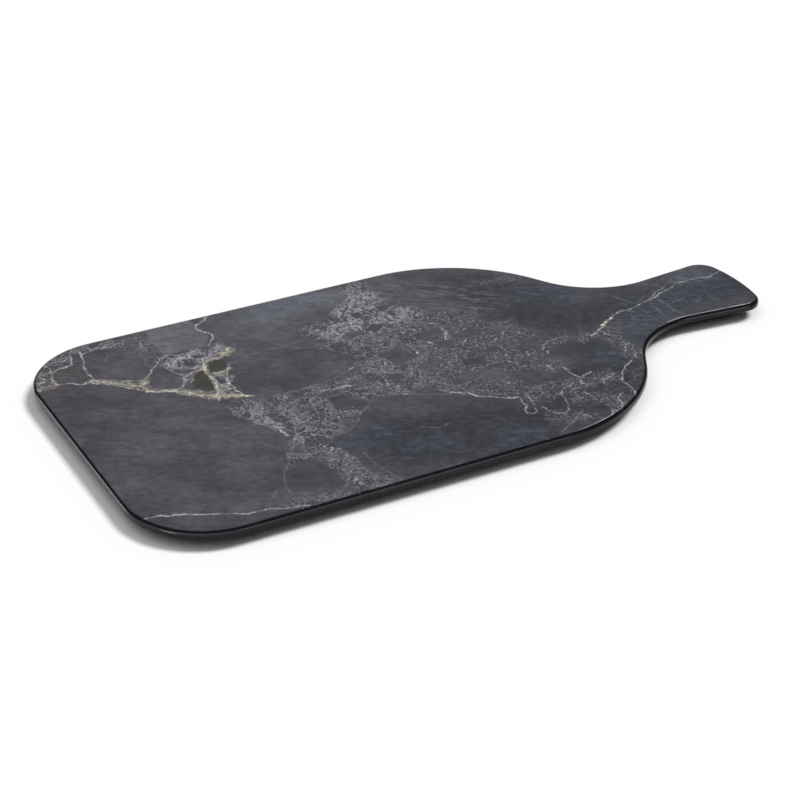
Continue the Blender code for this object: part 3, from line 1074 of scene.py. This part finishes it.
surface = blend(stone, vein_share(faint_distance, 0.5, 0.6), surface, FAINT_COLOUR)
cream_patch = stone_noise(board, 0.42, 3.0, 0.6)
cream = ease(stone, maths(stone, "MULTIPLY_ADD", ragged, 1.2, gold_ground), 0.7, -0.7)
cream = maths(stone, "MULTIPLY", cream, ease(stone, grain, 0.30, 0.52, 0.25, 0.95))
cream_colour = blend(stone, ease(stone, cream_patch, 0.42, 0.58), GREEN_CREAM, CREAM_COLOUR)
surface = blend(stone, cream, surface, cream_colour)
surface = blend(stone, vein_share(white_distance, 0.36, 0.85), surface, WHITE_COLOUR)
gold_colour = blend(stone, ease(stone, cream_patch, 0.44, 0.60), CREAM_COLOUR, GOLD_COLOUR)
surface = blend(stone, vein_share(gold_distance, 0.45, 1.0), surface, gold_colour)
print("veins laid, stone so far:", len(stone.nodes), "nodes")

# %% [markdown]
# ## The rounded lip
# The print stops at the edge of the top, and the sheet is black over the rounding. Round the board end a
# line of light runs along the edge. A softbox that is large and strong enough for it would turn the satin
# top white when it is seen from the handle's side, so most of that line is a painted highlight: a paler
# band in the sheet's colour. A mask by height picks the rounding, because the lip has the same height all
# round.

# %% Rounded lip
BLACK_EDGE = (0.004, 0.004, 0.006, 1.0)
BLACK_SHARE = 0.95
# The colour of a painted highlight, paler than the black of the lip
PAINTED_HIGHLIGHT_EDGE = (0.050, 0.050, 0.056, 1.0)
# Depths below the serving face where the black starts and is full, and where the painted highlight line
# starts and ends
BLACK_FROM = 0.000006
BLACK_FULL = 0.00018
LINE_FROM = 0.0007
LINE_TO = 0.0017
LINE_FADE = 0.0003

height_up = stone.nodes.new("ShaderNodeSeparateXYZ")
feed(stone, height_up.inputs["Vector"], coordinates)
top_of_black = SERVING_HEIGHT - BLACK_FROM
lip = ease(stone, height_up.outputs["Z"], top_of_black, SERVING_HEIGHT - BLACK_FULL, 0.0, BLACK_SHARE)
surface = blend(stone, lip, surface, BLACK_EDGE)
# Painted highlight: round the board end, a paler band along the lip's rounding stands in for a line of light
below_top = maths(stone, "SUBTRACT", SERVING_HEIGHT, height_up.outputs["Z"])
line_start = ease(stone, below_top, LINE_FROM, LINE_FROM + LINE_FADE)
line_end = ease(stone, below_top, LINE_TO, LINE_TO - LINE_FADE)
painted_highlight_line = maths(stone, "MULTIPLY", line_start, line_end)
painted_highlight_line = maths(stone, "MULTIPLY", painted_highlight_line, ease(stone, board_sides.outputs["X"], 60.0, 20.0))
surface = blend(stone, painted_highlight_line, surface, PAINTED_HIGHLIGHT_EDGE)
feed(stone, marble_shader.inputs["Base Color"], surface)
print("marble:", len(stone.nodes), "nodes")

# %% [markdown]
# ## The marble's finish
# The decor sheet has the same satin skin as the rest of the moulding. Its veins aren't raised: the print is
# under the surface, so only the skin feeds the bump. The lip is polished from where its rounding starts, so
# it takes a sharper line of light than the top does.

# %% Finish of the overlay
POLISH = 0.18
# Depths below the serving face where the polish starts and is full
POLISH_FROM = 0.000003
POLISH_FULL = 0.00003

marble_roughness, marble_height = use_group(
    stone, satin, ("Roughness", "Height"),
    Place=board, Middle_Roughness=0.32, Roughness_Spread=0.08, Grain=0.5,
)
top_of_polish = SERVING_HEIGHT - POLISH_FROM
rim_polish = ease(stone, height_up.outputs["Z"], top_of_polish, SERVING_HEIGHT - POLISH_FULL, 0.0, POLISH)
polished = maths(stone, "SUBTRACT", marble_roughness, rim_polish)
feed(stone, marble_shader.inputs["Roughness"], polished)
marble_shader.inputs["Specular IOR Level"].default_value = 0.25
bump = stone.nodes.new("ShaderNodeBump")
bump.inputs["Distance"].default_value = 0.00002
feed(stone, bump.inputs["Height"], marble_height)
feed(stone, marble_shader.inputs["Normal"], bump.outputs["Normal"])
print("overlay finished:", len(stone.nodes), "nodes")

# %% [markdown]
# ## Black melamine
# The moulding below the print is plain black resin. Its colour drifts a little, and the foot is rubbed
# paler where it slides over tables.

# %% Material of the body
BLACK_RESIN = (0.006, 0.006, 0.008, 1.0)
DUSTY_RESIN = (0.010, 0.010, 0.012, 1.0)
RUBBED_RESIN = (0.050, 0.049, 0.050, 1.0)

resin, resin_shader = new_material(body, "black_resin")
resin_place = resin.nodes.new("ShaderNodeTexCoord").outputs["Object"]
resin_board = vectors(resin, "SCALE", resin_place, 1000.0)
resin_drift = ease(resin, noise(resin, resin_board, 0.05, detail=4.0), 0.35, 0.75)
resin_colour = blend(resin, resin_drift, BLACK_RESIN, DUSTY_RESIN)
resin_up = resin.nodes.new("ShaderNodeSeparateXYZ")
feed(resin, resin_up.inputs["Vector"], resin_place)
rubbed = ease(resin, resin_up.outputs["Z"], 0.0008, 0.0)
scuffs = ease(resin, noise(resin, resin_board, 0.6, detail=3.0, roughness=0.7), 0.45, 0.65)
resin_colour = blend(resin, maths(resin, "MULTIPLY", rubbed, scuffs), resin_colour, RUBBED_RESIN)
feed(resin, resin_shader.inputs["Base Color"], resin_colour)
resin_roughness, resin_height = use_group(
    resin, satin, ("Roughness", "Height"),
    Place=resin_board, Middle_Roughness=0.40, Roughness_Spread=0.10, Grain=0.6,
)
feed(resin, resin_shader.inputs["Roughness"], resin_roughness)
resin_shader.inputs["Specular IOR Level"].default_value = 0.15
bump = resin.nodes.new("ShaderNodeBump")
bump.inputs["Distance"].default_value = 0.00002
feed(resin, bump.inputs["Height"], resin_height)
feed(resin, resin_shader.inputs["Normal"], bump.outputs["Normal"])
print("resin:", len(resin.nodes), "nodes")

# %% [markdown]
# ## Floor
# Product photos stand on a sheet of white paper. The floor is a plain white plane, large enough to fill the
# view from any side.

# %% White floor
deselect_all()
bpy.ops.mesh.primitive_plane_add(size=40.0, location=(0.0, 0.0, 0.0))
floor = bpy.context.object
floor.name = "floor"
paper, paper_shader = new_material(floor, "white_paper")
paper_shader.inputs["Base Color"].default_value = (0.97, 0.97, 0.97, 1.0)
paper_shader.inputs["Roughness"].default_value = 0.9
paper_shader.inputs["Specular IOR Level"].default_value = 0.0
print("floor placed")

# %% [markdown]
# ## Light
# The photo's light is a soft lamp from the front right, which throws the narrow shadow under the board end,
# and a wider, weaker one from the front left. Both are Suns with a wide angle, so the floor is evenly lit.
# The lines of light on the lip are softboxes. They could be area lamps, but painted in the world by
# direction they need no place of their own, and the Light Path node shows them in reflections only, so they
# don't lift the floor. The strongest are kept small, because a satin top that is seen from low down mirrors
# a large one and goes white.

# %% Lamps
def add_lamp(name, towards, energy, angle):
    """A Sun that shines from this side. The softboxes make the highlights, so it isn't mirrored."""
    bpy.ops.object.light_add(type="SUN", location=towards)
    lamp = bpy.context.object
    lamp.name = name
    lamp.data.energy = energy
    lamp.data.angle = math.radians(angle)
    lamp.rotation_euler = Vector(towards).to_track_quat("Z", "Y").to_euler()
    lamp.visible_glossy = False
    return lamp


key = add_lamp("key_lamp", (0.376, -0.315, 0.871), energy=2.24, angle=20.0)
fill = add_lamp("fill_lamp", (-0.36, -0.33, 0.87), energy=1.12, angle=60.0)
print("lamps", key.data.energy, fill.data.energy)

# %% Softboxes
ROOM = 0.10
# Each softbox: towards, angle of its even middle and of its faded edge in degrees, strength
SOFTBOXES = {
    "back": ((0.317, 0.871, 0.375), 10, 21, 0.55),
    "front": ((0.41, -0.87, 0.275), 6, 16, 3.0),
    "rim by the board end": ((-0.63, 0.77, 0.05), 6, 12, 5.5),
    "rim by the handle": ((0.55, 0.50, 0.67), 1.5, 3.5, 36.0),
    "rim by the near corner": ((-0.93, -0.33, 0.16), 5, 13, 9.0),
}
world = bpy.data.worlds.new("studio")
bpy.context.scene.world = world
world.use_nodes = True
room = world.node_tree
direction = room.nodes.new("ShaderNodeTexCoord").outputs["Generated"]
mirrored = room.nodes.new("ShaderNodeLightPath").outputs["Is Glossy Ray"]
shine = ROOM
for towards, even, edge, strength in SOFTBOXES.values():
    facing = vectors(room, "DOT_PRODUCT", direction, Vector(towards).normalized())
    box = ease(room, facing, math.cos(math.radians(edge)), math.cos(math.radians(even)), 0.0, strength)
    shine = maths(room, "MULTIPLY_ADD", box, mirrored, shine)
feed(room, room.nodes["Background"].inputs["Strength"], shine)
room.nodes["Background"].inputs["Color"].default_value = (1.0, 1.0, 1.0, 1.0)
print("softboxes:", ", ".join(SOFTBOXES))

# %% [markdown]
# ## Camera
# The camera stands where the photo's perspective puts it: low, off the near corner of the board end, with a
# long lens.

# %% Camera
camera_data = bpy.data.cameras.new("photo_camera")
camera = bpy.data.objects.new("photo_camera", camera_data)
bpy.context.scene.collection.objects.link(camera)
camera_data.sensor_width = 36.0
camera_data.lens = 91.863
camera.location = (-0.4673, -0.8350, 0.5281)
camera.rotation_euler = (math.radians(90.0 - 29.557), 0.0, math.radians(-28.175))
bpy.context.scene.camera = camera
bpy.context.scene.view_settings.view_transform = "Standard"
print("camera", round(camera_data.lens, 1), "mm")
